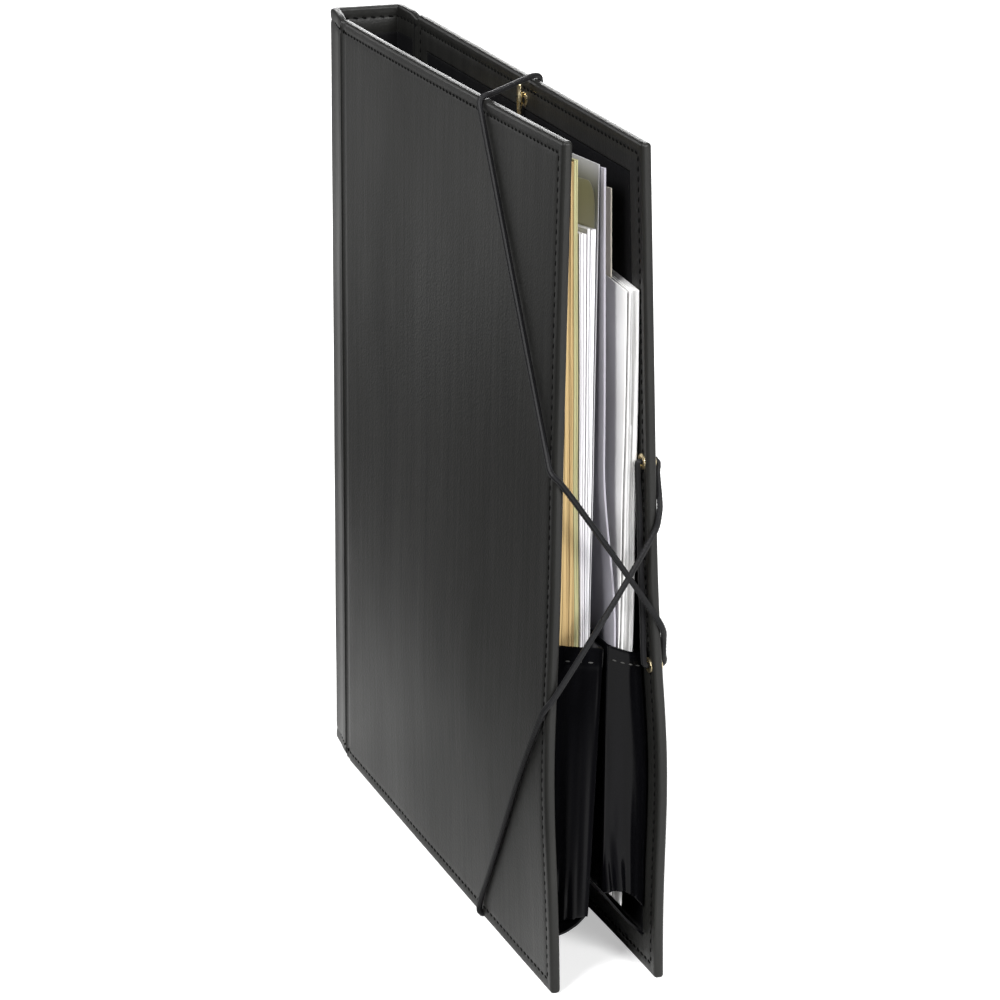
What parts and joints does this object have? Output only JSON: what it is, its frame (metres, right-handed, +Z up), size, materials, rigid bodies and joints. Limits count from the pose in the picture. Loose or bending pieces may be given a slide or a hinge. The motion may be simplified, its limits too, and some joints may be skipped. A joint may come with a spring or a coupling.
{
  "type": "music folder",
  "caption": "Black leatherette music folder with a wide spine, gusseted pockets inside, an elastic cord laced round both covers, and sheet music in the pockets.",
  "frame": {"origin": "under the middle of the folder, on the surface that it stands on", "axes": "+Z up, +X from the spine to the fore-edge, +Y from the front cover to the back cover"},
  "size_m": [0.3108, 0.0592, 0.3584],
  "materials": {
    "leatherette": "black leatherette with a fine grain, satin",
    "pocket_sheet": "thin black leatherette, softly creased",
    "lining": "smooth black leatherette, satin",
    "grey_board": "raw grey board",
    "elastic": "braided black elastic",
    "brass": "plain brass, lightly worn",
    "cream_paper": "aged cream page edges",
    "green_card": "pale olive card",
    "white_paper": "white page edges",
    "clear_sleeve": "clear sleeve that looks grey",
    "lilac_paper": "pale lilac sheet",
    "buff_card": "buff card",
    "booklet_paper": "white booklet, unprinted, with a blue back edge"
  },
  "bodies": {
    "spine": {"spine_covering": "leatherette", "spine_board": "grey_board", "front_hinge_board": "grey_board", "back_hinge_board": "grey_board", "spine_lining": "lining"},
    "front_cover": {"front_covering": "leatherette", "front_board": "grey_board", "front_lining": "lining", "front_pocket": "pocket_sheet", "song_book": "cream_paper", "green_booklet": "green_card", "part_book_a": "white_paper", "part_book_b": "white_paper", "sleeve_sheet": "clear_sleeve"},
    "back_cover": {"back_covering": "leatherette", "back_board": "grey_board", "back_lining": "lining", "back_pocket": "pocket_sheet", "eyelet_top": "brass", "eyelet_fore_upper": "brass", "eyelet_fore_lower": "brass", "eyelet_bottom": "brass", "end_bar_top": "brass", "end_bar_bottom": "brass", "elastic_cord": "elastic", "loose_sheet": "lilac_paper", "divider_card": "buff_card", "back_booklet": "booklet_paper"}
  },
  "joints": [
    {"name": "front_hinge", "type": "hinge", "parent": "spine", "child": "front_cover", "pos_m": [-0.1269, -0.02246, 0.178], "axis": [0, 0, -1], "range_deg": [0, 15], "stiffness_Nm_per_rad": 1.5, "springref_deg": -8.59, "deforming": ["elastic_cord"]},
    {"name": "back_hinge", "type": "hinge", "parent": "spine", "child": "back_cover", "pos_m": [-0.1269, 0.01794, 0.178], "axis": [0, 0, 1], "range_deg": [0, 15], "stiffness_Nm_per_rad": 1.5, "springref_deg": -8.59, "deforming": ["elastic_cord"]}
  ]
}
